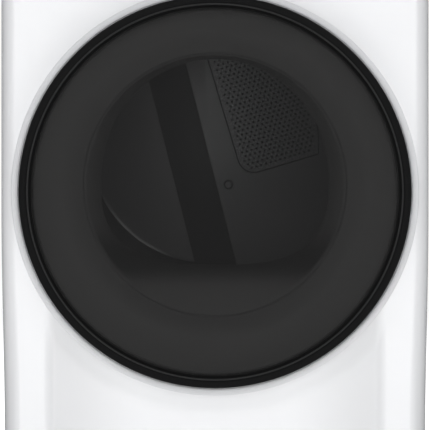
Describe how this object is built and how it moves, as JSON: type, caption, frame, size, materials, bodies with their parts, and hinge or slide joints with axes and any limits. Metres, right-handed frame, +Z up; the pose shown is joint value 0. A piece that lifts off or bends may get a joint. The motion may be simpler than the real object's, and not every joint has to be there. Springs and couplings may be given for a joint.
{
  "type": "clothes dryer",
  "caption": "Free-standing front-loading clothes dryer with a large round smoked door, rotating drum and belt drive in a white sheet-metal cabinet.",
  "frame": {"origin": "centre of the bounding box at floor level, under the feet", "axes": "+Z up, -Y out of the front with the door, +X to the right seen from the front"},
  "size_m": [0.711, 0.812, 1.01],
  "materials": {
    "white_enamel": "gloss white enamel",
    "well_paint": "satin white paint",
    "galvanised": "zinc-coated sheet, spangled",
    "white_plastic": "satin moulded",
    "gloss_black": "high gloss",
    "smoked_cover": "smoked, polished",
    "liner_plastic": "fine moulded grain",
    "window_glass": "clear, polished",
    "rubber_seal": "matte",
    "display_black": "polished",
    "board_green": "solder mask",
    "drum_steel": "satin",
    "lifter_plastic": "moulded grain",
    "felt": "wool felt",
    "bright_steel": "bright",
    "dark_plastic": "moulded grain",
    "motor_paint": "satin",
    "belt_rubber": "matte",
    "roller_rubber": "matte",
    "button_plastic": "satin",
    "knob_metallic": "satin metallic",
    "foot_rubber": "matte"
  },
  "bodies": {
    "cabinet": {"base_pan": "galvanised", "left_side_panel": "white_enamel", "right_side_panel": "white_enamel", "rear_panel": "galvanised", "top_panel": "white_enamel", "front_panel": "white_enamel", "door_collar": "white_plastic", "door_well": "well_paint", "front_bulkhead": "galvanised", "control_console": "white_plastic", "display_window": "display_black", "control_board": "board_green", "rear_bulkhead": "drum_steel", "drum_back": "drum_steel", "inlet_grille": "drum_steel", "lamp_lens": "window_glass", "front_felt_seal": "felt", "rear_felt_seal": "felt", "moisture_bar_front": "bright_steel", "moisture_bar_rear": "bright_steel", "door_catch": "dark_plastic", "door_switch": "dark_plastic", "hinge_bracket": "galvanised", "motor_housing": "motor_paint", "motor_bracket": "galvanised", "blower_housing": "dark_plastic", "lint_duct": "dark_plastic", "exhaust_duct": "galvanised", "heater_housing": "galvanised", "drum_belt": "belt_rubber", "roller_axle_left": "bright_steel", "roller_axle_right": "bright_steel"},
    "drum": {"drum_shell": "drum_steel", "drum_lifter_1": "lifter_plastic", "drum_lifter_2": "lifter_plastic", "drum_lifter_3": "lifter_plastic"},
    "door": {"door_ring": "gloss_black", "door_cover": "smoked_cover", "door_liner": "liner_plastic", "inner_window": "window_glass", "door_gasket": "rubber_seal", "hinge_pin": "bright_steel", "door_strike": "bright_steel"},
    "motor_rotor": {"motor_shaft": "bright_steel", "blower_wheel": "white_plastic"},
    "idler_lever": {"idler_arm": "galvanised"},
    "idler_pulley": {"idler_wheel": "dark_plastic"},
    "roller_left": {"drum_roller_left": "roller_rubber"},
    "roller_right": {"drum_roller_right": "roller_rubber"},
    "filter": {"lint_filter": "dark_plastic"},
    "plunger": {"switch_plunger": "white_plastic"},
    "knob": {"cycle_knob": "knob_metallic"},
    "power_key": {"power_button": "button_plastic"},
    "option_key_1": {"option_button_1": "button_plastic"},
    "option_key_2": {"option_button_2": "button_plastic"},
    "start_key": {"start_button": "button_plastic"},
    "foot_fl": {"foot_front_left": "foot_rubber"},
    "foot_fr": {"foot_front_right": "foot_rubber"},
    "foot_rl": {"foot_rear_left": "foot_rubber"},
    "foot_rr": {"foot_rear_right": "foot_rubber"}
  },
  "joints": [
    {"name": "door_hinge", "type": "hinge", "parent": "cabinet", "child": "door", "pos_m": [0.309, -0.379, 0.56], "axis": [0, 0, 1], "range_deg": [0, 118]},
    {"name": "drum_spin", "type": "hinge", "parent": "cabinet", "child": "drum", "pos_m": [0, 0.03, 0.565], "axis": [0, 1, 0], "continuous": true},
    {"name": "motor_spin", "type": "hinge", "parent": "cabinet", "child": "motor_rotor", "pos_m": [-0.13, 0, 0.135], "axis": [0, 1, 0], "continuous": true},
    {"name": "idler_arm_swing", "type": "hinge", "parent": "cabinet", "child": "idler_lever", "pos_m": [-0.15, 0.066, 0.066], "axis": [0, 1, 0], "range_deg": [0, 10], "stiffness_Nm_per_rad": 10, "springref_deg": -11.46},
    {"name": "idler_pulley_spin", "type": "hinge", "parent": "idler_lever", "child": "idler_pulley", "pos_m": [-0.205, 0.055, 0.17], "axis": [0, 1, 0], "continuous": true},
    {"name": "roller_left_spin", "type": "hinge", "parent": "cabinet", "child": "roller_left", "pos_m": [-0.2102, 0.272, 0.2648], "axis": [0, 1, 0], "continuous": true},
    {"name": "roller_right_spin", "type": "hinge", "parent": "cabinet", "child": "roller_right", "pos_m": [0.2102, 0.272, 0.2648], "axis": [0, 1, 0], "continuous": true},
    {"name": "filter_slide", "type": "slide", "parent": "cabinet", "child": "filter", "axis": [0, 0, 1], "range_m": [0, 0.2]},
    {"name": "plunger_slide", "type": "slide", "parent": "cabinet", "child": "plunger", "axis": [0, 1, 0], "range_m": [0, 0.003], "stiffness_N_per_m": 150, "springref_m": -0.003},
    {"name": "knob_turn", "type": "hinge", "parent": "cabinet", "child": "knob", "pos_m": [0, -0.36, 0.946], "axis": [0, 1, 0], "continuous": true},
    {"name": "power_press", "type": "slide", "parent": "cabinet", "child": "power_key", "axis": [0, 1, 0], "range_m": [0, 0.002], "stiffness_N_per_m": 400},
    {"name": "option_press_1", "type": "slide", "parent": "cabinet", "child": "option_key_1", "axis": [0, 1, 0], "range_m": [0, 0.002], "stiffness_N_per_m": 400},
    {"name": "option_press_2", "type": "slide", "parent": "cabinet", "child": "option_key_2", "axis": [0, 1, 0], "range_m": [0, 0.002], "stiffness_N_per_m": 400},
    {"name": "start_press", "type": "slide", "parent": "cabinet", "child": "start_key", "axis": [0, 1, 0], "range_m": [0, 0.002], "stiffness_N_per_m": 400},
    {"name": "foot_front_left_adjust", "type": "slide", "parent": "cabinet", "child": "foot_fl", "axis": [0, 0, -1], "range_m": [0, 0.02]},
    {"name": "foot_front_right_adjust", "type": "slide", "parent": "cabinet", "child": "foot_fr", "axis": [0, 0, -1], "range_m": [0, 0.02]},
    {"name": "foot_rear_left_adjust", "type": "slide", "parent": "cabinet", "child": "foot_rl", "axis": [0, 0, -1], "range_m": [0, 0.02]},
    {"name": "foot_rear_right_adjust", "type": "slide", "parent": "cabinet", "child": "foot_rr", "axis": [0, 0, -1], "range_m": [0, 0.02]}
  ],
  "couplings": [
    {"joint": "motor_spin", "follows": "drum_spin", "ratio": 32.8},
    {"joint": "idler_pulley_spin", "follows": "drum_spin", "ratio": 16.4},
    {"joint": "roller_left_spin", "follows": "drum_spin", "ratio": -8.6316},
    {"joint": "roller_right_spin", "follows": "drum_spin", "ratio": -8.6316}
  ]
}
